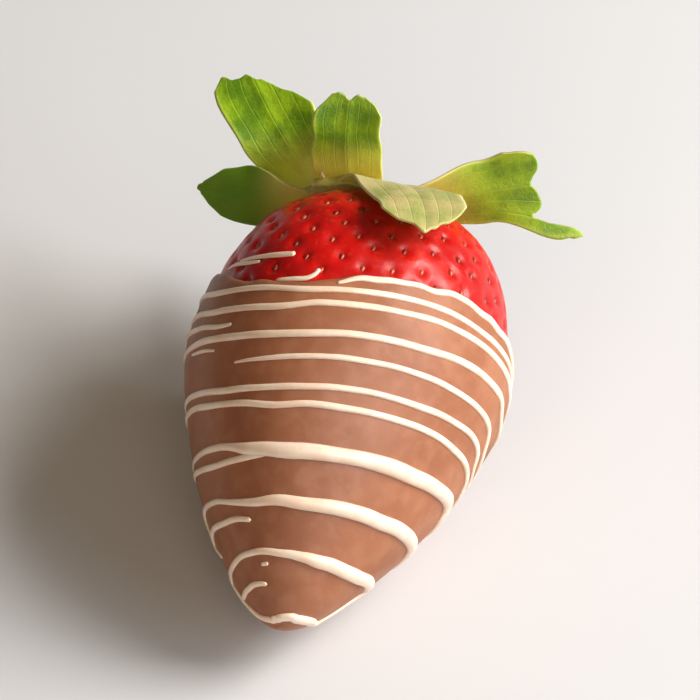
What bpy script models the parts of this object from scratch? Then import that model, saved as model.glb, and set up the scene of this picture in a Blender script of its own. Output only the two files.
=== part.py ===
"""A milk chocolate coated strawberry, lying on its side on a small flat foot of set chocolate.

The berry's own axis runs from the crown, where the leafy cap sits, to the tip. It lies along Y:
the tip points to -Y and dips towards the table, and the cap points to +Y and up.
The origin is the middle of the flat foot, on the table, with +Z up.

Each piece is shaped in the berry's own frame and carried by one empty. There the axis is Z,
the crown is at the origin with the cap above it and the tip below, and -Y is the side that
ends up on top. "around" is the angle about the axis, 0 on that side and positive towards +X.
"polar" is the angle from the crown, 0 at its middle and pi at the tip.
"""

import math
from collections import namedtuple

import bmesh
import bpy
from mathutils import Matrix, Vector

# Driving sizes, in metres.
BERRY_RADIUS = 0.0184
BERRY_LENGTH = 0.0525
WIDEST_BELOW_CROWN = 0.0220
COAT_THICKNESS = 0.0010
TIP_DIP = math.radians(20)  # how far the axis points below level, towards the tip

# The berry's form.
SHOULDER_POWER = 2.6  # 2 is a round shoulder, and more is a squarer one
TAPER_POWER = 1.25  # 1 tapers at once below the widest place, and more keeps it full for longer
TIP_POWER = 0.6  # 0.5 is a round tip, and more is a sharper one
CROWN_HOLLOW = 0.0022
HOLLOW_RADIUS = 0.0045
TIP_LEAN = 0.0021  # the tip is this far to -X of the axis
CROWN_LEAN = -0.0008  # and the crown this far to +X, being negative
# Shallow waves round the berry: how many, how deep as a share of the radius, where, and their twist.
WAVES = ((2, 0.016, 0.9, 0.3), (3, 0.012, 2.2, -0.5), (5, 0.006, 0.4, 1.1))

# The chocolate.
FIT_GAP = 0.0003  # between pieces that touch
UNDERSIDE_THICKNESS = 0.0004  # more chocolate where it ran down and set
TIP_THICKNESS = 0.0010  # more chocolate at the tip, where the last drop hung
LIP_THICKNESS = 0.0005
LIP_FADE = 0.45  # how far from the rim the coat takes to reach its full thickness, in polar angle
RIM_DEPTH = 0.0137  # below the crown, at the sides
RIM_TILT = 0.0037  # the rim is this much lower on top of the lying berry, and higher underneath
RIM_SKEW = -0.0013  # and this much nearer the crown on the +X side
RIM_WAVES = ((3, 0.00055, 1.6), (7, 0.00028, 5.24), (11, 0.00015, 0.3))
# Tongues and bays of the rim: where round the berry and how wide, in degrees, and how much lower.
RIM_BAYS = ((-65, 20, -0.0016), (-15, 11, 0.0012), (8, 18, -0.00075), (90, 21, 0.0031))
FOOT_FILL = 0.0006  # gaps to the table under this height are filled with chocolate
FOOT_EDGE = 0.0018  # the fill fades out at this height
FOOT_POWER = 0.6  # under 1, the foot's edge stands up steeply from the table

# The leafy cap, which sits a little off the axis.
CAP_CENTRE = Vector((-0.0030, 0, 0))
STALK_RADIUS = 0.0012
STALK_LENGTH = 0.0046
DISC_RADIUS = 0.0048
DISC_TOP = 0.0004
SEPAL_THICKNESS = 0.0005
SEPAL_ROOT = 0.0053  # from the axis
SEPAL_ROOT_SHARE = 0.52  # the root's width as a share of the widest
SEPAL_FULLNESS = 0.72  # under 1, the sides are rounder and the point shorter
SEPAL_SKEW = 1.35  # over 1, the widest place is nearer the point
# A sepal's end is cut into teeth. Each has a place across the sepal, from -1 to 1, how far it
# reaches as a share of the length, and how steeply its sides fall back from there.
POINTED = ((0, 1.0, 0.15),)
NOTCHED = ((-0.45, 1.0, 0.5), (0.3, 0.93, 0.2))
JAGGED = ((-0.75, 1.0, 0.2), (-0.1, 0.99, 0.2), (0.5, 0.89, 0.4))
FORKED = ((-0.95, 0.76, 0.45), (-0.35, 0.88, 0.3), (0.9, 1.1, 0.8))
# Where a sepal points round the axis, its length and width, how high its root is, how far it is
# raised from the crown's plane there, how far it turns further up to its tip, its roll about its
# own length, its cupping, how far its tip swings sideways as a share of its length, how wide its
# end is as a share of its width, and the teeth there. Angles are in degrees.
Sepal = namedtuple("Sepal", "around length width root lift curl roll cup swing blunt teeth")
SEPALS = (
    Sepal(-8, 0.0129, 0.0084, 0.0013, 16, 28, 10, -0.06, 0.1, 0.65, NOTCHED),
    Sepal(-70, 0.0151, 0.0102, 0.0010, 44, 42, 60, -0.08, -0.31, 0.8, JAGGED),
    Sepal(-98, 0.0153, 0.0078, -0.0001, -2, 18, 42, 0.1, -0.05, 0.25, POINTED),
    Sepal(-141, 0.0150, 0.0062, 0.0012, 26, -6, 10, 0.18, 0.05, 0.1, POINTED),
    Sepal(-176, 0.0160, 0.0066, 0.0002, 2, 12, 6, 0.2, 0.0, 0.1, POINTED),
    Sepal(156, 0.0150, 0.0060, 0.0013, 28, 10, 10, 0.18, -0.06, 0.1, POINTED),
    Sepal(125, 0.0120, 0.0050, 0.0004, 3, -22, 10, 0.16, 0.0, 0.1, POINTED),
    Sepal(85, 0.0202, 0.0090, 0.0011, 17, 1, -36, -0.12, 0.0, 1.25, FORKED),
    Sepal(32, 0.0228, 0.0112, 0.0005, -1, -58, 22, -0.06, -0.05, 0.55, POINTED),
)

# How finely the solids are cut.
AROUND = 48
RINGS = 28
CROWN_RINGS = 1.3  # over 1, the flesh's rings are closer together at the crown
SEPAL_ACROSS = 6
SEPAL_ALONG = 9

COLOURS = {
    "strawberry_flesh": ((0.52, 0.022, 0.014), 0.25),
    "milk_chocolate": ((0.30, 0.125, 0.062), 0.38),
    "leaf_green": ((0.13, 0.26, 0.022), 0.5),
}


def clear_scene():
    for obj in list(bpy.data.objects):
        bpy.data.objects.remove(obj)


def finish_material(name):
    colour, roughness = COLOURS[name]
    material = bpy.data.materials.new(name)
    material.use_nodes = True
    shader = material.node_tree.nodes["Principled BSDF"]
    shader.inputs["Base Color"].default_value = (*colour, 1)
    shader.inputs["Roughness"].default_value = roughness
    shader.inputs["Metallic"].default_value = 0
    material.diffuse_color = (*colour, 1)
    return material


def smooth(share):
    share = min(max(share, 0.0), 1.0)
    return share * share * (3 - 2 * share)


def add_piece(name, bm, material, carrier):
    """Makes the mesh a named object on the empty that carries the berry."""
    mesh = bpy.data.meshes.new(name)
    bm.to_mesh(mesh)
    bm.free()
    mesh.shade_smooth()
    mesh.materials.append(material)
    obj = bpy.data.objects.new(name, mesh)
    bpy.context.scene.collection.objects.link(obj)
    obj.parent = carrier
    return obj


# The berry's skin, and the way out from it, which the coat follows.


def profile(polar):
    """How far below the crown the plain berry is at a polar angle, and its radius there."""
    across = max(math.sin(polar), 0.0)
    if polar < math.pi / 2:
        below = WIDEST_BELOW_CROWN * (1 - math.cos(polar) ** (2 / SHOULDER_POWER))
        return below, BERRY_RADIUS * across ** (2 / SHOULDER_POWER)
    along = min(max(-math.cos(polar), 0.0), 1.0)
    below = WIDEST_BELOW_CROWN + (BERRY_LENGTH - WIDEST_BELOW_CROWN) * along
    return below, BERRY_RADIUS * (1 - along**TAPER_POWER) ** TIP_POWER


def polar_at(below):
    """The polar angle of the shoulder's skin at a distance below the crown."""
    share = (WIDEST_BELOW_CROWN - below) / WIDEST_BELOW_CROWN
    return math.acos(share ** (SHOULDER_POWER / 2))


def skin(around, polar):
    below, radius = profile(polar)
    uneven = sum(
        depth * math.cos(count * around + phase + twist * polar)
        for count, depth, phase, twist in WAVES
    )
    radius *= 1 + uneven * math.sin(polar)
    share = below / BERRY_LENGTH
    lean = TIP_LEAN * share**2 + CROWN_LEAN * (1 - share) ** 3
    point = Vector((radius * math.sin(around) - lean, -radius * math.cos(around), -below))
    if polar < math.pi / 2:
        from_cap = math.hypot(point.x - CAP_CENTRE.x, point.y - CAP_CENTRE.y)
        point.z -= CROWN_HOLLOW * math.exp(-((from_cap / HOLLOW_RADIUS) ** 2))
    return point


def outward(around, polar):
    """The skin's normal."""
    step = 0.001
    pole = 0.03
    if polar < pole:
        return Vector((0, 0, 1))
    if polar > math.pi - pole:
        return Vector((0, 0, -1))
    along = skin(around, polar + step) - skin(around, polar - step)
    across = skin(around + step, polar) - skin(around - step, polar)
    return along.cross(across).normalized()


def ball_angles(point):
    """The two angles of a point on a ball about the origin."""
    polar = math.acos(max(-1.0, min(1.0, point.z / point.length)))
    return math.atan2(point.x, -point.y), polar


# The coat: a cup with an uneven rim, thicker under the berry and at the tip.


def rim_polar(around):
    below = RIM_DEPTH + RIM_TILT * math.cos(around) + RIM_SKEW * math.sin(around)
    below += sum(depth * math.cos(count * around + phase) for count, depth, phase in RIM_WAVES)
    for place, width, depth in RIM_BAYS:
        away = math.remainder(math.degrees(around) - place, 360) / width
        below += depth * math.exp(-(away**2))
    return polar_at(below)


def coat_thickness(around, polar):
    full = COAT_THICKNESS
    full += UNDERSIDE_THICKNESS * (0.5 - 0.5 * math.cos(around))
    full += TIP_THICKNESS * smooth((polar - 2.5) / (math.pi - 2.5))
    lip = smooth((polar - rim_polar(around)) / LIP_FADE)
    return LIP_THICKNESS + (full - LIP_THICKNESS) * lip


def coat_point(around, polar, outside):
    off = FIT_GAP + (coat_thickness(around, polar) if outside else 0.0)
    return skin(around, polar) + outward(around, polar) * off


def open_cup(bm, outside):
    """Adds a ball with its top cut off, shaped to one face of the coat. Returns its open edges."""
    made = bmesh.ops.create_uvsphere(bm, u_segments=AROUND, v_segments=RINGS, radius=1)
    cut = math.pi * round(RINGS * 0.36) / RINGS
    cap = [v for v in made["verts"] if ball_angles(v.co)[1] < cut - 0.01]
    ball = [v for v in made["verts"] if ball_angles(v.co)[1] >= cut - 0.01]
    bmesh.ops.delete(bm, geom=cap, context="VERTS")
    for v in ball:
        around, polar = ball_angles(v.co)
        rim = rim_polar(around)
        v.co = coat_point(around, rim + (polar - cut) * (math.pi - rim) / (math.pi - cut), outside)
    edges = {e for v in ball for e in v.link_edges}
    return [e for e in edges if e.is_boundary]


def lying_pose():
    """Turns the berry's frame so that it lies down, with the middle of its foot at the origin."""
    turn = Matrix.Rotation(TIP_DIP - math.pi / 2, 4, "X")
    underside = [
        turn @ coat_point(math.pi + 0.02 * side, math.pi * (0.4 + 0.004 * step), outside=True)
        for side in range(-25, 26)
        for step in range(100)
    ]
    low = min(point.z for point in underside)
    foot = [point for point in underside if point.z < low + FOOT_FILL]
    across = [point.x for point in foot]
    along = [point.y for point in foot]
    middle = Vector(((min(across) + max(across)) / 2, (min(along) + max(along)) / 2, low))
    return Matrix.Translation(-middle) @ turn


def settled(point, pose):
    """Moves a point of the coat that is near the table down onto the flat foot."""
    world = pose @ point
    if world.z < FOOT_FILL:
        world.z = 0.0
    elif world.z < FOOT_EDGE:
        world.z = FOOT_EDGE * ((world.z - FOOT_FILL) / (FOOT_EDGE - FOOT_FILL)) ** FOOT_POWER
    return pose.inverted() @ world


def make_strawberry(material, carrier):
    bm = bmesh.new()
    bmesh.ops.create_uvsphere(bm, u_segments=AROUND, v_segments=RINGS, radius=1)
    for v in bm.verts:
        around, polar = ball_angles(v.co)
        v.co = skin(around, math.pi * (polar / math.pi) ** CROWN_RINGS)
    add_piece("strawberry", bm, material, carrier)


def make_coat(material, carrier, pose):
    bm = bmesh.new()
    outer_rim = open_cup(bm, outside=True)
    for v in bm.verts:
        v.co = settled(v.co, pose)
    inner_rim = open_cup(bm, outside=False)
    bmesh.ops.bridge_loops(bm, edges=outer_rim + inner_rim)
    bmesh.ops.recalc_face_normals(bm, faces=bm.faces)
    add_piece("chocolate_coat", bm, material, carrier)


# The leafy cap: a turned disc with the cut stalk, and the sepals that spread from it.


def make_stalk(material, carrier):
    """One turned profile: up the underside of the disc, over its edge and up the stalk."""
    crown = FIT_GAP - CROWN_HOLLOW
    edge_low = -0.0004
    profile_points = (
        (0, crown),
        (DISC_RADIUS * 0.5, crown + 0.0006),
        (DISC_RADIUS * 0.94, edge_low),
        (DISC_RADIUS, 0),
        (DISC_RADIUS * 0.94, DISC_TOP),
        (DISC_RADIUS * 0.55, DISC_TOP + 0.0003),
        (STALK_RADIUS * 1.35, DISC_TOP + 0.0009),
        (STALK_RADIUS, DISC_TOP + 0.0020),
        (STALK_RADIUS * 0.95, STALK_LENGTH - 0.0002),
        (STALK_RADIUS * 0.80, STALK_LENGTH),
        (0, STALK_LENGTH - 0.0001),
    )
    bm = bmesh.new()
    line = [bm.verts.new((radius, 0, height)) for radius, height in profile_points]
    edges = [bm.edges.new(pair) for pair in zip(line, line[1:])]
    bmesh.ops.spin(
        bm, geom=line + edges, axis=(0, 0, 1), cent=(0, 0, 0), angle=2 * math.pi, steps=20, use_merge=True
    )
    bmesh.ops.translate(bm, verts=bm.verts, vec=CAP_CENTRE)
    bmesh.ops.remove_doubles(bm, verts=bm.verts, dist=0.00001)
    bmesh.ops.recalc_face_normals(bm, faces=bm.faces)
    add_piece("stalk", bm, material, carrier)


def sepal_half_width(share, sepal):
    """Lance-shaped: a broad root, widest about the middle, and an end as blunt as asked."""
    root = math.asin(SEPAL_ROOT_SHARE ** (1 / SEPAL_FULLNESS)) / math.pi
    body = math.sin(math.pi * (root + (1 - root) * min(share, 1.0) ** SEPAL_SKEW))
    body = max(body, 0.0) ** SEPAL_FULLNESS
    end = smooth(2 * share - 1)
    return 0.5 * sepal.width * (body + (sepal.blunt - 0.2 * body) * end)


def sepal_reach(sepal, across):
    """How far along the sepal the strip at this place across it goes."""
    return max(reach - slope * abs(across - place) for place, reach, slope in sepal.teeth)


def sepal_point(sepal, across, share):
    """A point of a sepal's middle sheet. across runs from -1 to 1, and share from root to tip."""
    around = math.radians(sepal.around)
    outwards = Vector((math.sin(around), -math.cos(around), 0))
    sideways = Vector((math.cos(around), math.sin(around), 0))
    up = Vector((0, 0, 1))
    start = math.radians(sepal.lift)
    turn = math.radians(sepal.curl) or 1e-6
    heading = start + turn * share
    reach = SEPAL_ROOT + sepal.length * (math.sin(heading) - math.sin(start)) / turn
    height = sepal.root + sepal.length * (math.cos(start) - math.cos(heading)) / turn
    rise = outwards * -math.sin(heading) + up * math.cos(heading)
    roll = math.radians(sepal.roll) * smooth(share * 1.6)
    side = sideways * math.cos(roll) + rise * math.sin(roll)
    face = rise * math.cos(roll) - sideways * math.sin(roll)
    half = sepal_half_width(share, sepal)
    middle = CAP_CENTRE + outwards * reach + up * height + side * (sepal.swing * sepal.length * share**2)
    return middle + side * (half * across) + face * (sepal.cup * half * across * across)


def make_sepal(number, sepal, material, carrier):
    bm = bmesh.new()
    bmesh.ops.create_grid(bm, x_segments=SEPAL_ACROSS, y_segments=SEPAL_ALONG, size=1)
    for v in bm.verts:
        share = (0.5 + 0.5 * v.co.y) * sepal_reach(sepal, v.co.x)
        v.co = sepal_point(sepal, v.co.x, share)
    obj = add_piece(f"sepal_{number:02d}", bm, material, carrier)
    solid = obj.modifiers.new("thickness", "SOLIDIFY")
    solid.thickness = SEPAL_THICKNESS
    solid.offset = 0
    solid.use_even_offset = True


def main():
    clear_scene()
    flesh, chocolate, leaf = [finish_material(name) for name in COLOURS]
    pose = lying_pose()
    carrier = bpy.data.objects.new("berry_axis", None)
    bpy.context.scene.collection.objects.link(carrier)
    carrier.matrix_world = pose
    make_strawberry(flesh, carrier)
    make_coat(chocolate, carrier, pose)
    make_stalk(leaf, carrier)
    for number, sepal in enumerate(SEPALS, start=1):
        make_sepal(number, sepal, leaf, carrier)


main()
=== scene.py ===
# %% [markdown]
# # A chocolate coated strawberry
#
# A ripe strawberry is dipped in milk chocolate up to its shoulders, laid on its side to set, and
# drizzled with thin white chocolate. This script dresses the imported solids: it makes the flesh
# with its pits and seeds, the coat with its rounded lip, the drizzle, the leafy cap and its cut
# stalk, then the studio. Each step explains what the real thing looks like, and why it is made so.

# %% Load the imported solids
import math
from collections import namedtuple

import bmesh
import bpy
from mathutils import Matrix, Vector, noise
from mathutils.kdtree import KDTree


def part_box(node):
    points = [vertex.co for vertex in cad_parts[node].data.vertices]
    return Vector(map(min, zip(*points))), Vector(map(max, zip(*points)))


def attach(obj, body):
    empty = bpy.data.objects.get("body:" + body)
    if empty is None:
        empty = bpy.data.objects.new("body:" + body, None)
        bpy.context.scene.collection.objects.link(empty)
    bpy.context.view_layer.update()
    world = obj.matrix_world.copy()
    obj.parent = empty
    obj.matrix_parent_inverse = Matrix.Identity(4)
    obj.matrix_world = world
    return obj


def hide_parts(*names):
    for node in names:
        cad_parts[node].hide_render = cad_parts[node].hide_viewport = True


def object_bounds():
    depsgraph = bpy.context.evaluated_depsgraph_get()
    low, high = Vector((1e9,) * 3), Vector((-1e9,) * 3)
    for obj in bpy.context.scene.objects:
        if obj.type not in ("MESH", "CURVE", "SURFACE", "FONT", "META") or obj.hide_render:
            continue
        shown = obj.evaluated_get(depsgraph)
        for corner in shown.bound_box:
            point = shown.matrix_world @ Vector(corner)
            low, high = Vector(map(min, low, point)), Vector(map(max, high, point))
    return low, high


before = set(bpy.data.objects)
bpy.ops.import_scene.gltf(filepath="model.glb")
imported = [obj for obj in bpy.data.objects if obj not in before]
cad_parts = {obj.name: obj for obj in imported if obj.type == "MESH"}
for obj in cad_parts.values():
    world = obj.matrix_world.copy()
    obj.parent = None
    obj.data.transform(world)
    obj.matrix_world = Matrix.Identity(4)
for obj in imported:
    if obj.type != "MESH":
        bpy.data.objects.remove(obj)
cad_low, cad_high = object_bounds()
MM = 0.001
print("solids:", ", ".join(sorted(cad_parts)))
print("box in mm:", [round(side / MM, 1) for side in Vector(cad_high) - Vector(cad_low)])

# %% [markdown]
# ## The berry's form
#
# A strawberry is nearly a turned shape: a squarish shoulder, a fullest place above the middle and
# a blunt tip. So one profile gives how far below the crown a ring of the skin is, and how wide.
# Everything else, the coat, the drizzle, the pits, is placed by two angles on that skin: "around"
# the axis, 0 on the side that lies uppermost, and "polar", 0 at the crown and pi at the tip.
# In the berry's own frame the axis is Z, the crown is at the origin and the tip points down.

# %% Profile and skin
BERRY_RADIUS = 18.4 * MM
BERRY_LENGTH = 52.5 * MM
WIDEST_BELOW_CROWN = 22.0 * MM
SHOULDER_POWER = 2.6
TAPER_POWER = 1.25
TIP_POWER = 0.6
CROWN_HOLLOW = 2.2 * MM
HOLLOW_RADIUS = 4.5 * MM
TIP_LEAN = 2.1 * MM
CROWN_LEAN = -0.8 * MM
CAP_CENTRE = Vector((-3.0 * MM, 0, 0))
# Shallow waves round the berry: how many, how deep as a share of the radius, where, and their twist.
WAVES = ((2, 0.016, 0.9, 0.3), (3, 0.012, 2.2, -0.5), (5, 0.006, 0.4, 1.1))


def smooth(share):
    share = min(max(share, 0.0), 1.0)
    return share * share * (3 - 2 * share)


def profile(polar):
    """How far below the crown the plain berry is at a polar angle, and its radius there."""
    across = max(math.sin(polar), 0.0)
    if polar < math.pi / 2:
        below = WIDEST_BELOW_CROWN * (1 - math.cos(polar) ** (2 / SHOULDER_POWER))
        return below, BERRY_RADIUS * across ** (2 / SHOULDER_POWER)
    along = min(max(-math.cos(polar), 0.0), 1.0)
    below = WIDEST_BELOW_CROWN + (BERRY_LENGTH - WIDEST_BELOW_CROWN) * along
    return below, BERRY_RADIUS * (1 - along**TAPER_POWER) ** TIP_POWER


def polar_at(below):
    """The polar angle of the ring that lies a distance below the crown."""
    if below < WIDEST_BELOW_CROWN:
        share = (WIDEST_BELOW_CROWN - below) / WIDEST_BELOW_CROWN
        return math.acos(share ** (SHOULDER_POWER / 2))
    share = (below - WIDEST_BELOW_CROWN) / (BERRY_LENGTH - WIDEST_BELOW_CROWN)
    return math.acos(-min(share, 1.0))


def skin(around, polar):
    below, radius = profile(polar)
    uneven = sum(
        depth * math.cos(count * around + phase + twist * polar)
        for count, depth, phase, twist in WAVES
    )
    radius *= 1 + uneven * math.sin(polar)
    share = below / BERRY_LENGTH
    lean = TIP_LEAN * share**2 + CROWN_LEAN * (1 - share) ** 3
    point = Vector((radius * math.sin(around) - lean, -radius * math.cos(around), -below))
    if polar < math.pi / 2:
        from_cap = math.hypot(point.x - CAP_CENTRE.x, point.y - CAP_CENTRE.y)
        point.z -= CROWN_HOLLOW * math.exp(-((from_cap / HOLLOW_RADIUS) ** 2))
    return point


def outward(around, polar):
    """The skin's normal."""
    step = 0.001
    pole = 0.03
    if polar < pole:
        return Vector((0, 0, 1))
    if polar > math.pi - pole:
        return Vector((0, 0, -1))
    along = skin(around, polar + step) - skin(around, polar - step)
    across = skin(around + step, polar) - skin(around - step, polar)
    return along.cross(across).normalized()


print("widest", round(2 * BERRY_RADIUS / MM, 1), "mm across")

# %% [markdown]
# ## Lying down
#
# The berry lies with its tip dipped below level. The turn is known, and where it lies comes from
# the frame: the turned skin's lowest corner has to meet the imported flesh's.

# %% The pose
TIP_DIP = math.radians(20)
turn = Matrix.Rotation(TIP_DIP - math.pi / 2, 4, "X")
rough_skin = [
    turn @ skin(math.radians(side), math.radians(down)) for side in range(0, 360, 5) for down in range(181)
]
skin_low = Vector([min(point[i] for point in rough_skin) for i in range(3)])
pose = Matrix.Translation(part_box("strawberry")[0] - skin_low) @ turn
print("crown at", [round(value / MM, 1) for value in pose.translation])


def add_piece(name, bm, materials, slot, *nodes):
    """Lays a finished bmesh down as a named object that rides on the part's body."""
    mesh = bpy.data.meshes.new(name)
    bm.to_mesh(mesh)
    bm.free()
    mesh.transform(pose)
    mesh.shade_smooth()
    for material in materials:
        mesh.materials.append(material)
    obj = bpy.data.objects.new(name, mesh)
    bpy.context.scene.collection.objects.link(obj)
    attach(obj, "root")
    if nodes:
        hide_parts(*nodes)
    print(name, len(mesh.polygons), "faces")
    return obj


# %% [markdown]
# ## Finishes as node trees
#
# Each finish is one Principled shader. Patterns come from noise on Object coordinates, which are
# metres here, so a pattern's size is written in millimetres and turned into a scale. A few short
# helpers keep the recipes readable.

# %% Material helpers


def srgb(*levels):
    """A colour as a screen shows it, 0 to 255, turned into the linear light that shaders use."""
    shares = [level / 255 for level in levels]
    return tuple(s / 12.92 if s < 0.04045 else ((s + 0.055) / 1.055) ** 2.4 for s in shares) + (1.0,)


class Finish:
    """A material with one Principled shader, and the few nodes that the recipes need."""

    def __init__(self, name, roughness, **sockets):
        self.material = bpy.data.materials.new(name)
        self.material.use_nodes = True
        self.tree = self.material.node_tree
        self.shader = self.tree.nodes["Principled BSDF"]
        self.shader.inputs["Roughness"].default_value = roughness
        for socket, value in sockets.items():
            label = socket.replace("_", " ").title().replace("Ior", "IOR")
            self.shader.inputs[label].default_value = value
        self.place = self.add("ShaderNodeTexCoord").outputs["Object"]

    def add(self, kind, **settings):
        node = self.tree.nodes.new(kind)
        for key, value in settings.items():
            setattr(node, key, value)
        return node

    def link(self, output, socket):
        self.tree.links.new(output, socket)

    def noise(self, size, detail=2.0):
        """Clouds of about this size, in metres, from 0 to 1."""
        node = self.add("ShaderNodeTexNoise")
        node.inputs["Scale"].default_value = 1 / size
        node.inputs["Detail"].default_value = detail
        self.link(self.place, node.inputs["Vector"])
        return node.outputs["Fac"]

    def attribute(self, name):
        return self.add("ShaderNodeAttribute", attribute_name=name).outputs["Fac"]

    def math(self, operation, first, second=0.5):
        node = self.add("ShaderNodeMath", operation=operation)
        for socket, value in zip(node.inputs, (first, second)):
            if isinstance(value, (int, float)):
                socket.default_value = value
            else:
                self.link(value, socket)
        return node.outputs["Value"]

    def between(self, value, low, high, start=0.0, end=1.0):
        """Stretches low..high to start..end, and holds it there beyond them."""
        node = self.add("ShaderNodeMapRange", interpolation_type="SMOOTHSTEP")
        for socket, number in zip(list(node.inputs)[1:5], (low, high, start, end)):
            socket.default_value = number
        self.link(value, node.inputs["Value"])
        return node.outputs["Result"]

    def mix(self, share, first, second):
        node = self.add("ShaderNodeMix", data_type="RGBA")
        self.link(share, node.inputs["Factor"])
        for socket, colour in zip((node.inputs[6], node.inputs[7]), (first, second)):
            if isinstance(colour, tuple):
                socket.default_value = colour
            else:
                self.link(colour, socket)
        return node.outputs[2]

    def colour(self, output):
        self.link(output, self.shader.inputs["Base Color"])

    def roughness(self, output):
        self.link(output, self.shader.inputs["Roughness"])

    def bump(self, height, depth, under=None):
        """Relief of a depth in metres, on top of any relief that is under it."""
        node = self.add("ShaderNodeBump")
        node.inputs["Distance"].default_value = depth
        self.link(height, node.inputs["Height"])
        if under:
            self.link(under, node.inputs["Normal"])
        self.link(node.outputs["Normal"], self.shader.inputs["Normal"])
        return node.outputs["Normal"]


print("helpers ready")

# %% [markdown]
# ## Red flesh with pits
#
# The skin is glossy and a little see-through, so it takes a clear coat and a trace of red
# scattering. Each seed sits in a soft pit. The pits are real dents in the mesh: their places are
# spread by the golden angle, which is how a plant packs them, and stepped by equal area. The same
# distance to the nearest seed is stored as an attribute, and the colour turns a deeper red in the
# dents: a painted shade, on top of the shade that the dents cast.

# %% Seed places
GOLDEN_ANGLE = math.pi * (3 - math.sqrt(5))
AREA_PER_SEED = 9.5 * MM * MM
FIRST_SEED_AFTER = 2.0 * AREA_PER_SEED
SEED_STRAY_ALONG = 0.035
SEED_STRAY_AROUND = 0.06
SEEDED_TO = polar_at(20.5 * MM)


def spread_seeds():
    """Walks down the shoulder and drops a seed each time enough skin has passed."""
    places = []
    steps = 2000
    passed = -FIRST_SEED_AFTER
    for i in range(steps):
        polar = SEEDED_TO * (i + 0.5) / steps
        width = SEEDED_TO / steps
        ring = 2 * math.pi * profile(polar)[1]
        passed += ring * (skin(0, polar + width) - skin(0, polar)).length
        while passed > AREA_PER_SEED:
            passed -= AREA_PER_SEED
            around = len(places) * GOLDEN_ANGLE
            place = skin(around, polar) / (2.0 * MM)
            polar_shift = SEED_STRAY_ALONG * noise.noise(place)
            around_shift = SEED_STRAY_AROUND * noise.noise(place + Vector((7, 3, 5)))
            places.append((around + around_shift, polar + polar_shift))
    return places


seed_places = spread_seeds()
print(len(seed_places), "seeds")

# %% Flesh material
flesh = Finish(
    "strawberry_skin",
    0.4,
    subsurface_weight=0.2,
    subsurface_radius=(1.2 * MM, 0.35 * MM, 0.25 * MM),
    subsurface_scale=1.0,
    coat_weight=0.05,
    coat_roughness=0.2,
    specular_ior_level=0.3,
)
ripe = flesh.mix(flesh.between(flesh.noise(7 * MM), 0.35, 0.65), srgb(178, 11, 10), srgb(203, 20, 15))
speckled = flesh.mix(flesh.between(flesh.noise(0.7 * MM), 0.55, 0.75, 0.0, 0.25), ripe, srgb(236, 84, 50))
# Painted shade: the flesh is darkened to a deeper red in the dents round the seeds.
pit_shaded = flesh.mix(flesh.between(flesh.attribute("pit"), 0.35, 0.9, 0.0, 0.55), speckled, srgb(140, 10, 10))
pale_top = flesh.attribute("crown")
flesh.colour(flesh.mix(pale_top, pit_shaded, srgb(250, 206, 172)))
flesh.roughness(flesh.between(flesh.noise(1.5 * MM), 0.3, 0.7, 0.3, 0.46))
flesh.bump(flesh.noise(0.5 * MM, 3.0), 0.03 * MM)
print("flesh finish ready")

# %% Flesh mesh
PIT_DEPTH = 0.38 * MM
PIT_RADIUS = 0.75 * MM
SKIN_SWELL = 0.16 * MM
SWELL_SIZE = 5 * MM
PALE_RADIUS = 10.6 * MM
PALE_FADE = 3.6 * MM
PALE_SHARE = 0.8
FLESH_AROUND = 360
FLESH_RINGS = 150


def finer_shoulder(polar):
    """Gives the bare shoulder most of a ball's rings, because the coat hides the rest."""
    shown, share = 1.6, 0.8
    if polar < share * math.pi:
        return polar * shown / (share * math.pi)
    return shown + (polar - share * math.pi) * (math.pi - shown) / ((1 - share) * math.pi)


def wrap_ball(bm, columns, rows):
    """Adds a grid whose corners are handed back with their two angles, for wrapping round the berry."""
    grid = bmesh.ops.create_grid(bm, x_segments=columns, y_segments=rows, size=1)["verts"]
    return [(v, math.pi * v.co.x, math.pi * (0.5 + 0.5 * v.co.y)) for v in grid]


def close_ball(bm):
    """Sews the seam and the poles of wrapped grids, and turns every face outwards."""
    bmesh.ops.remove_doubles(bm, verts=bm.verts, dist=0.001 * MM)
    bmesh.ops.recalc_face_normals(bm, faces=bm.faces)


def make_flesh():
    tree = KDTree(len(seed_places))
    for index, place in enumerate(seed_places):
        tree.insert(skin(*place), index)
    tree.balance()
    bm = bmesh.new()
    pit_layer = bm.verts.layers.float.new("pit")
    crown_layer = bm.verts.layers.float.new("crown")
    for v, around, polar in wrap_ball(bm, FLESH_AROUND, FLESH_RINGS):
        polar = finer_shoulder(polar)
        point = skin(around, polar)
        pit = math.exp(-((tree.find(point)[2] / PIT_RADIUS) ** 2))
        swell = SKIN_SWELL * noise.noise(point / SWELL_SIZE)
        v.co = point + outward(around, polar) * (swell - PIT_DEPTH * pit)
        v[pit_layer] = pit
        from_cap = (point - CAP_CENTRE).length
        v[crown_layer] = PALE_SHARE * smooth((PALE_RADIUS - from_cap) / PALE_FADE)
    close_ball(bm)
    return add_piece("flesh", bm, [flesh.material], "strawberry_flesh", "strawberry")


make_flesh()

# %% [markdown]
# ## Seeds
#
# A strawberry's seeds are flat little teardrops, reddish brown on a ripe berry, that lie in the pits
# with their points along the berry. One small ball is stretched and pinched, and laid down once for
# each seed, so that all of them together are a light mesh.

# %% Seeds
SEED_SIZE = Vector((0.30, 0.50, 0.22)) * MM
SEED_SINK = 0.36 * MM

seed = Finish("seed_gold", 0.35, coat_weight=0.3, coat_roughness=0.2)
seed.colour(seed.mix(seed.between(seed.noise(3 * MM), 0.4, 0.6), srgb(140, 30, 14), srgb(178, 74, 34)))


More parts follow.
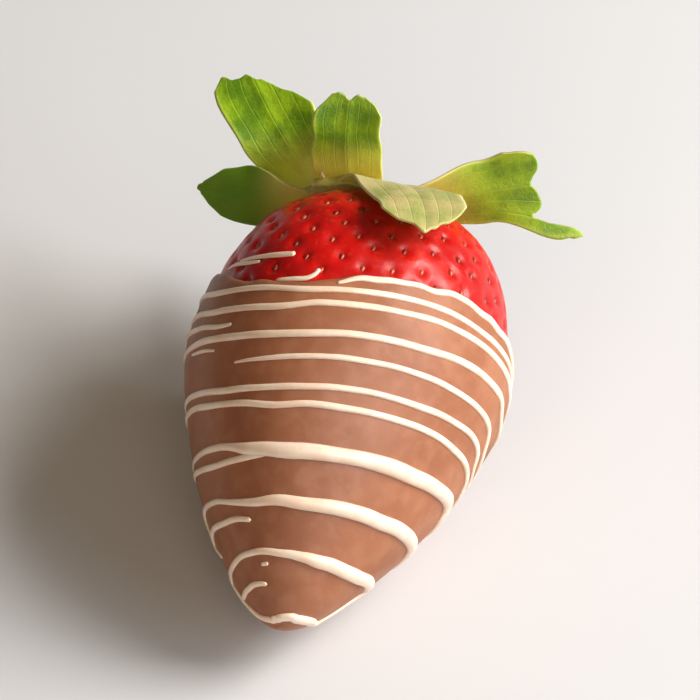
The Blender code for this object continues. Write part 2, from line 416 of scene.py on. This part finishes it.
def make_seeds():
    bm = bmesh.new()
    bmesh.ops.create_uvsphere(bm, u_segments=10, v_segments=7, radius=1)
    for v in bm.verts:
        v.co.x *= 1 - 0.4 * v.co.y
    bmesh.ops.scale(bm, verts=bm.verts, vec=SEED_SIZE)
    one = bpy.data.meshes.new("one_seed")
    bm.to_mesh(one)
    bm.clear()
    for around, polar in seed_places:
        out = outward(around, polar)
        along = (skin(around, polar + 0.01) - skin(around, polar)).normalized()
        axes = Matrix((along.cross(out), along, out)).transposed().to_4x4()
        seed_mesh = one.copy()
        seed_mesh.transform(Matrix.Translation(skin(around, polar) - out * SEED_SINK) @ axes)
        bm.from_mesh(seed_mesh)
        bpy.data.meshes.remove(seed_mesh)
    bpy.data.meshes.remove(one)
    return add_piece("seeds", bm, [seed.material], "seed")


make_seeds()

# %% [markdown]
# ## Milk chocolate coat
#
# Dipped chocolate sets about a millimetre thick. It ends in a rounded lip, where the thickness
# falls to nothing in a quarter circle, and it is fuller where it ran down and at the tip. So the
# coat is one ball with its top cut off, twice: an outer face whose distance from the skin follows
# those rules, and an inner face that meets it at the rim.

# %% Coat form
FIT_GAP = 0.3 * MM
COAT_THICKNESS = 1.0 * MM
UNDERSIDE_THICKNESS = 0.4 * MM
TIP_THICKNESS = 1.0 * MM
TIP_FROM = 2.5
LIP_THICKNESS = 0.5 * MM
LIP_FADE = 0.45
LIP_ROUND = 0.7 * MM
RIM_DEPTH = 13.7 * MM
RIM_TILT = 3.7 * MM
RIM_SKEW = -1.3 * MM
RIM_WAVES = (
    (3, 0.55 * MM, 1.6),
    (7, 0.28 * MM, 5.24),
    (11, 0.15 * MM, 0.3),
    (19, 0.10 * MM, 1.2),
    (31, 0.06 * MM, 0.5),
)
# Tongues and bays of the rim: where round the berry and how wide, in degrees, and how much lower.
RIM_BAYS = ((-65, 20, -1.6 * MM), (-15, 11, 1.2 * MM), (8, 18, -0.75 * MM), (90, 21, 3.1 * MM))
# Waves of the set surface: how high and how wide.
SLOW_WAVES = (0.12 * MM, 11 * MM)
QUICK_WAVES = (0.035 * MM, 3.5 * MM)
SURFACE_WAVES_FADE = 0.25
FOOT_FILL = 0.6 * MM
FOOT_EDGE = 1.8 * MM
FOOT_POWER = 0.6


def rim_below(around):
    below = RIM_DEPTH + RIM_TILT * math.cos(around) + RIM_SKEW * math.sin(around)
    below += sum(depth * math.cos(count * around + phase) for count, depth, phase in RIM_WAVES)
    for place, width, depth in RIM_BAYS:
        away = math.remainder(math.degrees(around) - place, 360) / width
        below += depth * math.exp(-(away**2))
    return below


def rim_polar(around):
    return polar_at(rim_below(around))


def coat_thickness(around, polar):
    full = COAT_THICKNESS
    full += UNDERSIDE_THICKNESS * (0.5 - 0.5 * math.cos(around))
    full += TIP_THICKNESS * smooth((polar - TIP_FROM) / (math.pi - TIP_FROM))
    lip = smooth((polar - rim_polar(around)) / LIP_FADE)
    return LIP_THICKNESS + (full - LIP_THICKNESS) * lip


def unevenness(point):
    """How far the set surface rises above its plain form."""
    return sum(height * noise.noise(point / width) for height, width in (SLOW_WAVES, QUICK_WAVES))


def lip_share(around, polar):
    """0 at the very rim, and 1 from where the rounded lip is full."""
    from_rim = (polar - rim_polar(around)) * BERRY_RADIUS
    inside = min(max(from_rim / LIP_ROUND, 0.0), 1.0)
    return math.sqrt(1 - (1 - inside) ** 2)


def coat_rise(around, polar, point):
    """How far the coat's outer face stands off the skin at a point of the skin."""
    thick = coat_thickness(around, polar) * lip_share(around, polar)
    inside = smooth((polar - rim_polar(around)) / SURFACE_WAVES_FADE)
    return FIT_GAP + thick + unevenness(point) * inside


def coat_point(around, polar):
    point = skin(around, polar)
    return point + outward(around, polar) * coat_rise(around, polar, point)


def settled(point):
    """Moves a point that is near the table down onto the flat foot."""
    world = pose @ point
    if world.z < FOOT_FILL:
        world.z = 0.0
    elif world.z < FOOT_EDGE:
        world.z = FOOT_EDGE * ((world.z - FOOT_FILL) / (FOOT_EDGE - FOOT_FILL)) ** FOOT_POWER
    return pose.inverted() @ world


rim_depths = [round(rim_below(around) / MM, 1) for around in (math.pi, 0)]
print("rim", rim_depths, "mm below the crown, on the underside and on top")

# %% Chocolate material
chocolate = Finish(
    "milk_chocolate",
    0.5,
    subsurface_weight=0.08,
    subsurface_radius=(0.9 * MM, 0.45 * MM, 0.25 * MM),
    subsurface_scale=1.0,
    coat_weight=0.05,
    coat_roughness=0.42,
    specular_ior_level=0.27,
)
cloud = chocolate.between(chocolate.noise(9 * MM, 3.0), 0.35, 0.65)
smear = chocolate.between(chocolate.noise(2.2 * MM, 3.0), 0.4, 0.7, 0.0, 0.38)
body = chocolate.mix(cloud, srgb(152, 95, 64), srgb(163, 105, 73))
chocolate.colour(chocolate.mix(smear, body, srgb(178, 124, 94)))
chocolate.roughness(chocolate.between(chocolate.noise(4 * MM), 0.3, 0.7, 0.46, 0.58))
low_waves = chocolate.bump(chocolate.noise(1.6 * MM, 2.0), 0.05 * MM)
chocolate.bump(chocolate.noise(0.35 * MM, 3.0), 0.012 * MM, low_waves)
print("chocolate finish ready")

# %% Coat mesh
COAT_AROUND = 288
COAT_RINGS = 190
OUTER_SHARE = 0.8
RIM_EASE = 1.6


def make_coat():
    """One grid makes both faces: its rows run over the outside from tip to rim, then back inside."""
    bm = bmesh.new()
    for v, around, down in wrap_ball(bm, COAT_AROUND, COAT_RINGS):
        row = down / math.pi
        outside = row <= OUTER_SHARE
        from_rim = 1 - row / OUTER_SHARE if outside else (row - OUTER_SHARE) / (1 - OUTER_SHARE)
        rim = rim_polar(around)
        polar = rim + from_rim**RIM_EASE * (math.pi - rim)
        if outside:
            v.co = settled(coat_point(around, polar))
        else:
            v.co = skin(around, polar) + outward(around, polar) * FIT_GAP
    close_ball(bm)
    return add_piece("coat", bm, [chocolate.material], "milk_chocolate", "chocolate_coat")


make_coat()

# %% [markdown]
# ## White drizzle
#
# Thin white chocolate is flicked over the lying berry from side to side. Each strand crosses the
# top, runs over both flanks and stops where it would leave the berry, and one loops round the tip.
# A strand's section is a low dome that has sunk a little into the coat. It starts as a long narrow
# grid, whose short way is rolled into that section and whose long way is laid along the route.
# The routes are a few listed stations each, with a smooth curve through them.

# %% Drizzle routes
# A strand's stations: the angle round the berry in degrees, then how far below the crown it lies
# and how wide it is there, both in millimetres.
STRANDS = (
    ((-2, 17.7, 0.4), (8, 16.8, 0.8), (24, 16.0, 0.8), (42, 15.2, 0.85), (62, 15.2, 0.9), (82, 16.5, 0.85),
     (98, 17.9, 0.7), (112, 18.6, 0.5)),
    ((-96, 16.4, 0.5), (-73, 17.2, 0.75), (-52, 18.8, 0.8), (-36, 19.4, 0.8), (-15, 19.7, 0.8),
     (0, 19.1, 0.8), (19, 18.3, 0.8), (42, 17.8, 0.8), (59, 18.0, 0.8), (73, 18.0, 0.8), (92, 18.6, 0.7),
     (108, 19.6, 0.5)),
    ((-90, 19.6, 0.5), (-65, 20.5, 0.8), (-48, 21.6, 0.85), (-22, 22.1, 0.85), (-5, 21.2, 0.85),
     (15, 20.4, 0.85), (38, 19.6, 0.85), (60, 19.5, 0.9), (83, 19.7, 0.9), (93, 20.2, 0.85),
     (108, 21.0, 0.7), (122, 21.4, 0.5)),
    ((-100, 21.4, 0.5), (-76, 21.9, 0.7), (-60, 22.8, 0.7), (-48, 23.6, 0.65), (-39, 23.8, 0.45)),
    ((-84, 24.0, 0.5), (-59, 24.7, 0.85), (-45, 25.2, 0.9), (-31, 25.5, 0.9), (-11, 25.2, 0.9),
     (7, 24.4, 0.9), (32, 23.6, 0.9), (55, 22.9, 0.9), (76, 22.8, 0.95), (85, 23.0, 0.95), (92, 24.0, 0.9),
     (104, 25.0, 0.7), (118, 25.4, 0.5)),
    ((-66, 25.4, 0.35), (-56, 25.9, 0.5), (-47, 26.6, 0.35)),
    ((-36, 28.6, 0.3), (-20, 28.2, 0.6), (-1, 27.5, 0.7), (20, 26.9, 0.75), (45, 26.4, 0.75),
     (69, 26.3, 0.8), (83, 26.6, 0.85), (89, 27.5, 0.85), (94, 28.9, 0.8), (103, 30.2, 0.7),
     (115, 31.0, 0.5)),
    ((-96, 29.2, 0.5), (-71, 30.1, 0.75), (-47, 31.3, 0.8), (-26, 31.7, 0.8), (-8, 31.2, 0.8),
     (12, 30.5, 0.8), (35, 30.0, 0.8), (56, 29.5, 0.8), (76, 29.2, 0.8), (87, 29.7, 0.8), (95, 31.2, 0.7),
     (108, 32.0, 0.5)),
    ((-104, 30.8, 0.5), (-84, 31.2, 0.75), (-64, 32.0, 0.8), (-46, 32.9, 0.85), (-19, 33.5, 0.85),
     (-2, 33.0, 0.85), (18, 32.6, 0.85), (46, 31.9, 0.85), (73, 31.8, 0.85), (87, 32.0, 0.85),
     (96, 32.6, 0.8), (103, 33.6, 0.8), (116, 34.6, 0.65), (128, 34.8, 0.5)),
    ((-92, 36.8, 0.5), (-74, 37.0, 0.7), (-50, 37.5, 0.8), (-39, 37.9, 1.0), (-29, 38.2, 1.5),
     (-16, 38.3, 1.85), (-3, 38.1, 1.9), (18, 37.7, 1.95), (40, 37.2, 2.0),
     (58, 36.8, 2.0), (74, 36.3, 1.95), (90, 35.9, 1.8), (98, 36.3, 1.5), (104, 37.3, 1.2),
     (116, 38.0, 0.9), (128, 38.2, 0.6)),
    ((-98, 37.6, 0.5), (-81, 38.2, 0.75), (-59, 39.2, 0.8), (-42, 39.4, 0.8), (-28, 39.1, 0.8),
     (-14, 38.5, 0.7)),
    ((-92, 45.5, 0.6), (-92, 44.5, 0.7), (-92, 43.5, 0.75), (-90, 42.7, 0.75), (-78, 42.5, 0.75),
     (-57, 43.0, 0.7), (-42, 43.6, 0.75), (-27, 43.8, 1.0), (-13, 43.6, 1.3), (3, 43.5, 1.6),
     (20, 43.2, 1.8), (38, 42.8, 1.9), (53, 42.7, 1.9), (70, 42.2, 1.9), (87, 41.8, 1.8),
     (101, 41.9, 1.5), (110, 42.6, 1.1), (122, 43.0, 0.8), (134, 43.1, 0.5)),
    ((-29, 45.6, 0.6), (-45, 45.3, 0.8), (-58, 45.3, 0.8), (-79, 45.1, 0.8), (-92, 45.4, 0.75),
     (-94, 46.2, 0.7), (-84, 47.8, 0.5)),
    ((107, 53.4, 1.3), (76, 54.0, 1.6), (32, 54.3, 1.3), (-20, 54.6, 1.1), (-59, 54.6, 1.0),
     (-80, 54.2, 0.9), (-87, 53.3, 0.8), (-91, 52.4, 0.75), (-92, 51.4, 0.75), (-96, 50.4, 0.75),
     (-85, 49.8, 0.75), (-62, 49.4, 0.75), (-44, 48.9, 0.8), (-25, 48.7, 0.9), (-5, 48.7, 1.0),
     (14, 48.7, 1.3), (31, 48.7, 1.8), (54, 48.5, 2.0), (75, 48.2, 2.0), (96, 47.5, 1.7),
     (110, 47.5, 1.3), (115, 48.5, 1.0), (115, 50.0, 0.85), (117, 51.3, 0.85), (121, 52.3, 0.9),
     (122, 53.0, 1.1), (112, 53.4, 1.3), (98, 53.6, 1.2)),
    ((-20, 51.8, 0.55), (-40, 51.8, 0.75), (-66, 52.2, 0.7), (-86, 52.4, 0.6)),
    ((-25, 50.0, 0.45), (-17, 49.9, 0.5)),
)
# Short flecks on the bare red shoulder, in the same way.
FLECKS = (
    ((-50, 14.2, 0.35), (-37, 14.5, 0.6), (-29, 14.6, 0.8), (-21, 14.5, 0.7)),
    ((-60, 14.4, 0.3), (-52, 14.5, 0.55), (-43, 15.0, 0.6), (-36, 15.2, 0.4)),
    ((-26, 18.3, 0.5), (-19, 18.1, 0.75), (-14, 17.9, 0.7), (-11, 17.2, 0.6), (-10, 16.4, 0.5)),
)
print(len(STRANDS), "strands and", len(FLECKS), "flecks")

# %% White chocolate material
ivory = Finish(
    "white_chocolate",
    0.4,
    subsurface_weight=0.25,
    subsurface_radius=(0.8 * MM, 0.5 * MM, 0.3 * MM),
    subsurface_scale=1.0,
    coat_weight=0.15,
    coat_roughness=0.25,
)
cream = ivory.mix(ivory.between(ivory.noise(3 * MM), 0.3, 0.7), srgb(247, 216, 192), srgb(252, 230, 211))
patches = ivory.between(ivory.noise(0.8 * MM), 0.55, 0.8, 0.0, 0.35)
ivory.colour(ivory.mix(patches, cream, srgb(236, 198, 168)))
ivory.bump(ivory.noise(0.6 * MM, 2.0), 0.03 * MM)
print("white chocolate finish ready")

# %% Drizzle mesh
SECTION_SIDES = 12
SECTION_HEIGHT = 0.34
SECTION_BELOW = 0.45
STEP_LENGTH = 0.35 * MM
# How a strand strays from its route, in millimetres, and within how many degrees.
STRAY = 0.12
STRAY_ANGLE = 16
# How a strand's width varies, as a share of it, and within which length.
WIDTH_CHANGE = 0.12
WIDTH_CHANGE_LENGTH = 5 * MM
# How much of the rounded lip a strand keeps off.
LIP_KEPT_FREE = 0.7
HALVINGS = 14


def through(stations, share):
    """A smooth curve through the stations, by the Catmull-Rom formula."""
    last = len(stations) - 1
    place = min(share * last, last - 1e-6)
    i = int(place)
    t = place - i
    a, b, c, d = (Vector(stations[min(max(i + k, 0), last)]) for k in (-1, 0, 1, 2))
    return 0.5 * (2 * b + (c - a) * t + (2 * a - 5 * b + 4 * c - d) * t**2 + (3 * b - a - 3 * c + d) * t**3)


def on_coat(around, below):
    """The place on the coat's face at a depth below the crown, found by halving."""
    low = rim_polar(around) + LIP_KEPT_FREE * LIP_ROUND / BERRY_RADIUS
    high = math.pi
    for _ in range(HALVINGS):
        polar = (low + high) / 2
        if -coat_point(around, polar).z < below:
            low = polar
        else:
            high = polar
    return coat_point(around, polar), outward(around, polar)


def on_flesh(around, below):
    polar = polar_at(below)
    return skin(around, polar), outward(around, polar)


def lay_strand(bm, stations, surface, number):
    """Rolls a long grid into a low dome along one route."""
    coarse = [through(stations, i / 60) for i in range(61)]
    walked = [surface(math.radians(a), d * MM)[0] for a, d, _ in coarse]
    length = sum((q - p).length for p, q in zip(walked, walked[1:]))
    count = max(int(length / STEP_LENGTH), 8)
    route = []
    widths = []
    for i in range(count + 1):
        angle, below, width = through(stations, i / count)
        stray = STRAY * noise.noise(Vector((angle / STRAY_ANGLE, number * 7.3, 0)))
        route.append(surface(math.radians(angle), (below + stray) * MM))
        widths.append(width * MM)
    rings = []
    for i, (point, out) in enumerate(route):
        along = (route[min(i + 1, count)][0] - route[max(i - 1, 0)][0]).normalized()
        half = 0.5 * widths[i]
        walked_share = i * STEP_LENGTH / WIDTH_CHANGE_LENGTH
        half *= 1 + WIDTH_CHANGE * noise.noise(Vector((walked_share, number * 3.1, 4.2)))
        from_end = min(i, count - i) * length / count
        half *= math.sqrt(1 - (1 - min(from_end / half, 1)) ** 2)
        rings.append((point, out.cross(along) * half, out * half * 2 * SECTION_HEIGHT))
    grid = bmesh.ops.create_grid(bm, x_segments=SECTION_SIDES, y_segments=count, size=1)["verts"]
    for v in grid:
        point, side, rise = rings[round((0.5 + 0.5 * v.co.y) * count)]
        height = math.sin(math.pi * v.co.x)
        if height < 0:
            height *= SECTION_BELOW
        v.co = point + side * math.cos(math.pi * v.co.x) + rise * height


def make_drizzle():
    bm = bmesh.new()
    for number, strand in enumerate(STRANDS):
        lay_strand(bm, strand, on_coat, number)
    for number, fleck in enumerate(FLECKS, start=len(STRANDS)):
        lay_strand(bm, fleck, on_flesh, number)
    close_ball(bm)
    return add_piece("drizzle", bm, [ivory.material], "white_chocolate")


make_drizzle()

# %% [markdown]
# ## Leafy cap
#
# The cap's leaves, called sepals, are thin, cupped and veined, greener on the face that was folded
# over the fruit and paler outside. Each starts as a grid, whose two directions become "across" and
# "share", the way from root to tip. A sheet formula bends it, teeth are cut by shortening the grid
# between points, and Solidify gives it two faces with their own finishes.

# %% Leaf finishes


def leaf_finish(name, body, dark, vein, root, roughness):
    """A leaf's face: mottled green, paler along the veins, and yellowish towards its root."""
    leaf = Finish(
        name,
        roughness,
        subsurface_weight=0.3,
        subsurface_radius=(0.4 * MM, 0.7 * MM, 0.2 * MM),
        subsurface_scale=1.0,
        specular_ior_level=0.3,
    )
    mottled = leaf.mix(leaf.between(leaf.noise(3.5 * MM, 3.0), 0.35, 0.65), dark, body)
    lines = leaf.math("PINGPONG", leaf.math("MULTIPLY", leaf.attribute("across"), 3.0), 0.5)
    thin_vein = leaf.between(lines, 0.0, 0.09, 1.0, 0.0)
    net = leaf.add("ShaderNodeTexVoronoi", feature="DISTANCE_TO_EDGE")
    net.inputs["Scale"].default_value = 1 / (0.9 * MM)
    leaf.link(leaf.place, net.inputs["Vector"])
    net_line = leaf.between(net.outputs["Distance"], 0.0, 0.12, 0.4, 0.0)
    veins = leaf.math("MAXIMUM", thin_vein, net_line)
    veined = leaf.mix(leaf.math("MULTIPLY", veins, 0.18), mottled, vein)
    edge = leaf.between(leaf.math("ABSOLUTE", leaf.attribute("across")), 0.86, 0.98, 0.0, 0.7)
    edge = leaf.math("MAXIMUM", edge, leaf.between(leaf.attribute("share"), 0.96, 1.08, 0.0, 0.8))
    edged = leaf.mix(edge, veined, vein)
    # Painted shade, partly: the shade attribute darkens a whole leaf toward its dark green, most on
    # leaf_03, which lies in shadow; on the back leaves it is their deeper green.
    shaded = leaf.mix(leaf.attribute("shade"), edged, dark)
    leaf.colour(leaf.mix(leaf.between(leaf.attribute("share"), 0.05, 0.58, 1.0, 0.0), shaded, root))
    leaf.bump(leaf.math("SUBTRACT", leaf.noise(0.4 * MM), veins), 0.04 * MM)
    return leaf.material


leaf_inner = leaf_finish(
    "leaf_green", srgb(152, 190, 24), srgb(98, 142, 12), srgb(188, 208, 86), srgb(226, 212, 92), 0.5
)
leaf_outer = leaf_finish(
    "leaf_pale", srgb(196, 184, 122), srgb(158, 168, 90), srgb(214, 206, 150), srgb(206, 190, 140), 0.6
)
print("leaf finishes ready")

# %% Sepals
Sepal = namedtuple("Sepal", "around length width root lift curl roll cup swing shade base blunt teeth")
# Each tooth of a leaf's end: its place across the leaf, its reach, and how steeply its sides fall back.
POINTED = ((0, 1.0, 0.15),)
NOTCHED = ((-0.42, 1.0, 0.24), (0.3, 0.95, 0.2))
JAGGED = ((-0.75, 1.0, 0.2), (-0.1, 0.99, 0.2), (0.5, 0.89, 0.4))
FORKED = ((-0.95, 0.74, 0.45), (-0.4, 0.86, 0.3), (0.3, 0.84, 0.3), (0.94, 1.1, 1.8))
SEPAL_ROOT = 5.3 * MM
SEPAL_FULLNESS = 0.72
SEPAL_SKEW = 1.35
# A leaf's shade darkens its colour toward the dark green: painted shade on leaf_03, which lies in shadow,
# and a deeper green on the back leaves.
SEPALS = (
    Sepal(-8, 12.9, 8.7, 1.3, 16, 28, 10, -0.06, 0.1, 0.1, 0.95, 0.65, NOTCHED),
    Sepal(-70, 15.1, 10.5, 1.0, 44, 42, 60, -0.08, -0.31, 0.0, 0.8, 0.8, JAGGED),
    Sepal(-98, 15.3, 8.2, -0.1, -2, 18, 42, 0.1, -0.05, 0.9, 0.8, 0.25, POINTED),
    Sepal(-141, 15.0, 6.6, 1.2, 26, -6, 10, 0.18, 0.05, 0.5, 0.7, 0.1, POINTED),
    Sepal(-176, 16.0, 7.0, 0.2, 2, 12, 6, 0.2, 0.0, 0.4, 0.7, 0.1, POINTED),
    Sepal(156, 15.0, 6.4, 1.3, 28, 10, 10, 0.18, -0.06, 0.6, 0.7, 0.1, POINTED),
    Sepal(125, 12.0, 5.3, 0.4, 3, -22, 10, 0.16, 0.0, 0.4, 0.7, 0.1, POINTED),
    Sepal(85, 20.2, 9.2, 1.1, 17, 1, -36, -0.12, 0.03, 0.1, 0.95, 1.45, FORKED),
    Sepal(32, 22.8, 11.5, 0.5, -1, -58, 22, -0.06, -0.05, 0.0, 0.9, 0.55, POINTED),
)
SEPAL_THICKNESS = 0.3 * MM
SEPAL_ACROSS = 36
SEPAL_ALONG = 70
SPREAD_FROM = 0.95
SPREAD = 2.5
RAGGED = 0.025
CORNER_LOSS = 0.08
TOOTH_ROUND = 0.12
WIDTH_STRAY = 0.07
EDGE_RIPPLE = 0.4 * MM
KEEL_DEPTH = 0.10 * MM
KEEL_WIDTH = 0.12
PLEAT_DEPTH = 0.02 * MM


def sepal_half_width(share, sepal):
    root = math.asin(sepal.base ** (1 / SEPAL_FULLNESS)) / math.pi
    body = math.sin(math.pi * (root + (1 - root) * min(share, 1.0) ** SEPAL_SKEW))
    body = max(body, 0.0) ** SEPAL_FULLNESS
    spread = 1 + SPREAD * max(share - SPREAD_FROM, 0)
    full = body + (sepal.blunt - body * 0.2) * smooth(share * 2 - 1)
    return 0.5 * sepal.width * MM * spread * full


def sepal_reach(sepal, across):
    """How far the strip of the leaf at this place across it goes: its end is cut into teeth."""
    edge = RAGGED * noise.noise(Vector((across * 6, sepal.around, 2.5))) - CORNER_LOSS * across**6
    return edge + max(
        reach - slope * (math.hypot(across - place, TOOTH_ROUND) - TOOTH_ROUND)
        for place, reach, slope in sepal.teeth
    )


def sepal_point(sepal, across, share):
    around = math.radians(sepal.around)
    outwards = Vector((math.sin(around), -math.cos(around), 0))
    sideways = Vector((math.cos(around), math.sin(around), 0))
    up = Vector((0, 0, 1))
    start = math.radians(sepal.lift)
    turn_up = math.radians(sepal.curl) or 1e-6
    heading = start + turn_up * share
    length = sepal.length * MM
    reach = SEPAL_ROOT + length * (math.sin(heading) - math.sin(start)) / turn_up
    height = sepal.root * MM + length * (math.cos(start) - math.cos(heading)) / turn_up
    rise = outwards * -math.sin(heading) + up * math.cos(heading)
    roll = math.radians(sepal.roll) * smooth(share * 1.6)
    side = sideways * math.cos(roll) + rise * math.sin(roll)
    face = rise * math.cos(roll) - sideways * math.sin(roll)
    half = sepal_half_width(share, sepal)
    half *= 1 + WIDTH_STRAY * noise.noise(Vector((share * 5, across, sepal.around)))
    middle = CAP_CENTRE + outwards * reach + up * height + side * (sepal.swing * length * share**2)
    ripple = EDGE_RIPPLE * across**2 * math.sin(9 * share + sepal.around) * smooth(share * 3)
    keel = KEEL_DEPTH * math.exp(-((across / KEEL_WIDTH) ** 2))
    pleats = PLEAT_DEPTH * math.cos(3 * math.pi * across) ** 2
    off_sheet = sepal.cup * half * across**2 + ripple - keel - pleats
    return middle + side * (half * across) + face * off_sheet


def make_sepal(number, sepal):
    bm = bmesh.new()
    layers = {name: bm.verts.layers.float.new(name) for name in ("across", "share", "shade")}
    bmesh.ops.create_grid(bm, x_segments=SEPAL_ACROSS, y_segments=SEPAL_ALONG, size=1)
    for v in bm.verts:
        across, share = v.co.x, 0.5 + 0.5 * v.co.y
        share *= sepal_reach(sepal, across)
        for name, value in (("across", across), ("share", share), ("shade", sepal.shade)):
            v[layers[name]] = value
        v.co = sepal_point(sepal, across, share)
    obj = add_piece(
        f"leaf_{number:02d}", bm, [leaf_inner, leaf_outer], "leaf_green", f"sepal_{number:02d}"
    )
    solid = obj.modifiers.new("thickness", "SOLIDIFY")
    solid.thickness = SEPAL_THICKNESS
    solid.offset = 0
    solid.material_offset = 1
    solid.material_offset_rim = 1
    return obj


for number, sepal in enumerate(SEPALS, start=1):
    make_sepal(number, sepal)

# %% [markdown]
# ## Collar and stalk
#
# Where the leaves meet they are grown together into a pale, pleated collar, and a short cut stalk
# stands on it. The collar is a wrapped grid like the flesh, flattened to a lens whose top carries a
# pleat for each leaf. The stalk is a circle extruded along its length, ribbed, and cut off flat.

# %% Collar and stalk
COLLAR_RADIUS = 6.4 * MM
COLLAR_TOP = 1.6 * MM
COLLAR_UNDER = -0.3 * MM
STALK_RADIUS = 1.25 * MM
STALK_LENGTH = 4.6 * MM
COLLAR_AROUND = 108
COLLAR_RINGS = 24
COLLAR_PLEATS = len(SEPALS)
PLEAT_SHARE = 0.06
FINE_PLEAT_HEIGHT = 0.12 * MM
STALK_RIBS = 6
RIB_SHARE = 0.05
# The stalk's width and height, as shares of its radius and its length.
STALK_STATIONS = (
    (1.9, 0.0),
    (1.45, 0.12),
    (1.15, 0.3),
    (1.02, 0.6),
    (0.98, 0.85),
    (1.06, 0.98),
    (0.92, 1.0),
)

stalk_green = Finish(
    "stalk_green",
    0.5,
    subsurface_weight=0.1,
    subsurface_radius=(0.5 * MM, 0.6 * MM, 0.2 * MM),
    subsurface_scale=1.0,
)
stem = stalk_green.mix(
    stalk_green.between(stalk_green.noise(2.0 * MM), 0.35, 0.65), srgb(184, 186, 88), srgb(210, 204, 126)
)
stalk_green.colour(stem)
stalk_green.bump(stalk_green.noise(0.3 * MM, 3.0), 0.04 * MM)


def make_stalk():
    bm = bmesh.new()
    for v, around, polar in wrap_ball(bm, COLLAR_AROUND, COLLAR_RINGS):
        out = math.sin(polar)
        pleat = 1 + PLEAT_SHARE * math.cos(COLLAR_PLEATS * around + 1.0) * out
        if polar < math.pi / 2:
            height = COLLAR_TOP * (1 - 0.3 * out**4)
        else:
            height = COLLAR_UNDER * (1 - out**2)
        height += FINE_PLEAT_HEIGHT * math.cos(2 * COLLAR_PLEATS * around) * out * (1 - out)
        radius = out * COLLAR_RADIUS * pleat
        v.co = CAP_CENTRE + Vector((math.sin(around) * radius, -math.cos(around) * radius, height))
    foot = Matrix.Translation(CAP_CENTRE)
    ring = bmesh.ops.create_circle(bm, segments=36, radius=STALK_RADIUS)["verts"]
    edges = list({e for v in ring for e in v.link_edges})
    for v in ring:
        v.co *= 1 + RIB_SHARE * math.cos(STALK_RIBS * math.atan2(v.co.y, v.co.x))
    bmesh.ops.transform(bm, verts=ring, matrix=foot)
    width, height = 1.0, 0.0
    for next_width, share in STALK_STATIONS:
        if share > 0:
            made = bmesh.ops.extrude_edge_only(bm, edges=edges)["geom"]
            ring = [g for g in made if isinstance(g, bmesh.types.BMVert)]
            edges = [g for g in made if isinstance(g, bmesh.types.BMEdge)]
            edges = [e for e in edges if all(v in ring for v in e.verts)]
        grow = next_width / width
        bmesh.ops.scale(bm, verts=ring, vec=(grow, grow, 1), space=foot.inverted())
        bmesh.ops.translate(bm, verts=ring, vec=(0, 0, share * STALK_LENGTH - height))
        width, height = next_width, share * STALK_LENGTH
    bmesh.ops.edgeloop_fill(bm, edges=edges)
    close_ball(bm)
    return add_piece("stalk_and_collar", bm, [stalk_green.material], "stalk_green", "stalk")


make_stalk()

# %% [markdown]
# ## Studio
#
# A plain pale floor and soft light from the upper right. A cooler light from the side and a wide
# one that shows only in reflections give the chocolate's right flank its broad sheen, and a warm
# weak fill from the front leaves the left flank in soft shade.

# %% Floor, light and camera
FLOOR_SIZE = 3.0
floor_finish = Finish("pale_floor", 0.7, base_color=srgb(212, 216, 222))
bm = bmesh.new()
bmesh.ops.create_grid(bm, x_segments=1, y_segments=1, size=FLOOR_SIZE)
floor_mesh = bpy.data.meshes.new("floor")
bm.to_mesh(floor_mesh)
bm.free()
floor_mesh.materials.append(floor_finish.material)
floor = bpy.data.objects.new("floor", floor_mesh)
bpy.context.scene.collection.objects.link(floor)

scene = bpy.context.scene
middle = (Vector(cad_low) + Vector(cad_high)) / 2


def add_light(name, place, size, energy, colour, glossy=True, diffuse=True):
    light = bpy.data.lights.new(name, "AREA")
    light.size = size
    light.energy = energy
    light.color = colour
    obj = bpy.data.objects.new(name, light)
    obj.location = middle + Vector(place)
    obj.rotation_euler = (-Vector(place)).to_track_quat("-Z", "Y").to_euler()
    obj.visible_glossy = glossy
    obj.visible_diffuse = diffuse
    scene.collection.objects.link(obj)


add_light("key", (0.50, 0.14, 0.42), 0.36, 7.1, (1.0, 0.94, 0.87))
add_light("side", (0.62, -0.18, 0.24), 0.45, 1.8, (0.82, 0.90, 1.0))
add_light("sheen", (0.42, -0.44, 0.44), 0.6, 7.5, (0.86, 0.91, 1.0), diffuse=False)
add_light("fill", (0.05, -0.55, 0.50), 0.6, 1.7, (1.0, 0.74, 0.48), glossy=False)
world = bpy.data.worlds.new("studio")
world.use_nodes = True
world.node_tree.nodes["Background"].inputs["Color"].default_value = (1.0, 0.86, 0.70, 1)
world.node_tree.nodes["Background"].inputs["Strength"].default_value = 0.07
scene.world = world
scene.view_settings.view_transform = "Standard"

CAMERA_AZIMUTH = math.radians(11.3)
CAMERA_ELEVATION = math.radians(47)
CAMERA_DISTANCE = 0.9
FRAME_SIZE = 84 * MM
SENSOR_SIZE = 36
level = math.cos(CAMERA_ELEVATION)
view = Vector(
    (math.sin(CAMERA_AZIMUTH) * level, -math.cos(CAMERA_AZIMUTH) * level, math.sin(CAMERA_ELEVATION))
)
camera_data = bpy.data.cameras.new("camera")
camera_data.sensor_width = SENSOR_SIZE
camera_data.lens = SENSOR_SIZE * CAMERA_DISTANCE / FRAME_SIZE
camera = bpy.data.objects.new("camera", camera_data)
camera.location = middle + view * CAMERA_DISTANCE
camera.rotation_euler = view.to_track_quat("Z", "Y").to_euler()
scene.collection.objects.link(camera)
scene.camera = camera
print("camera lens", round(camera_data.lens))

# %% The end
bpy.context.view_layer.update()
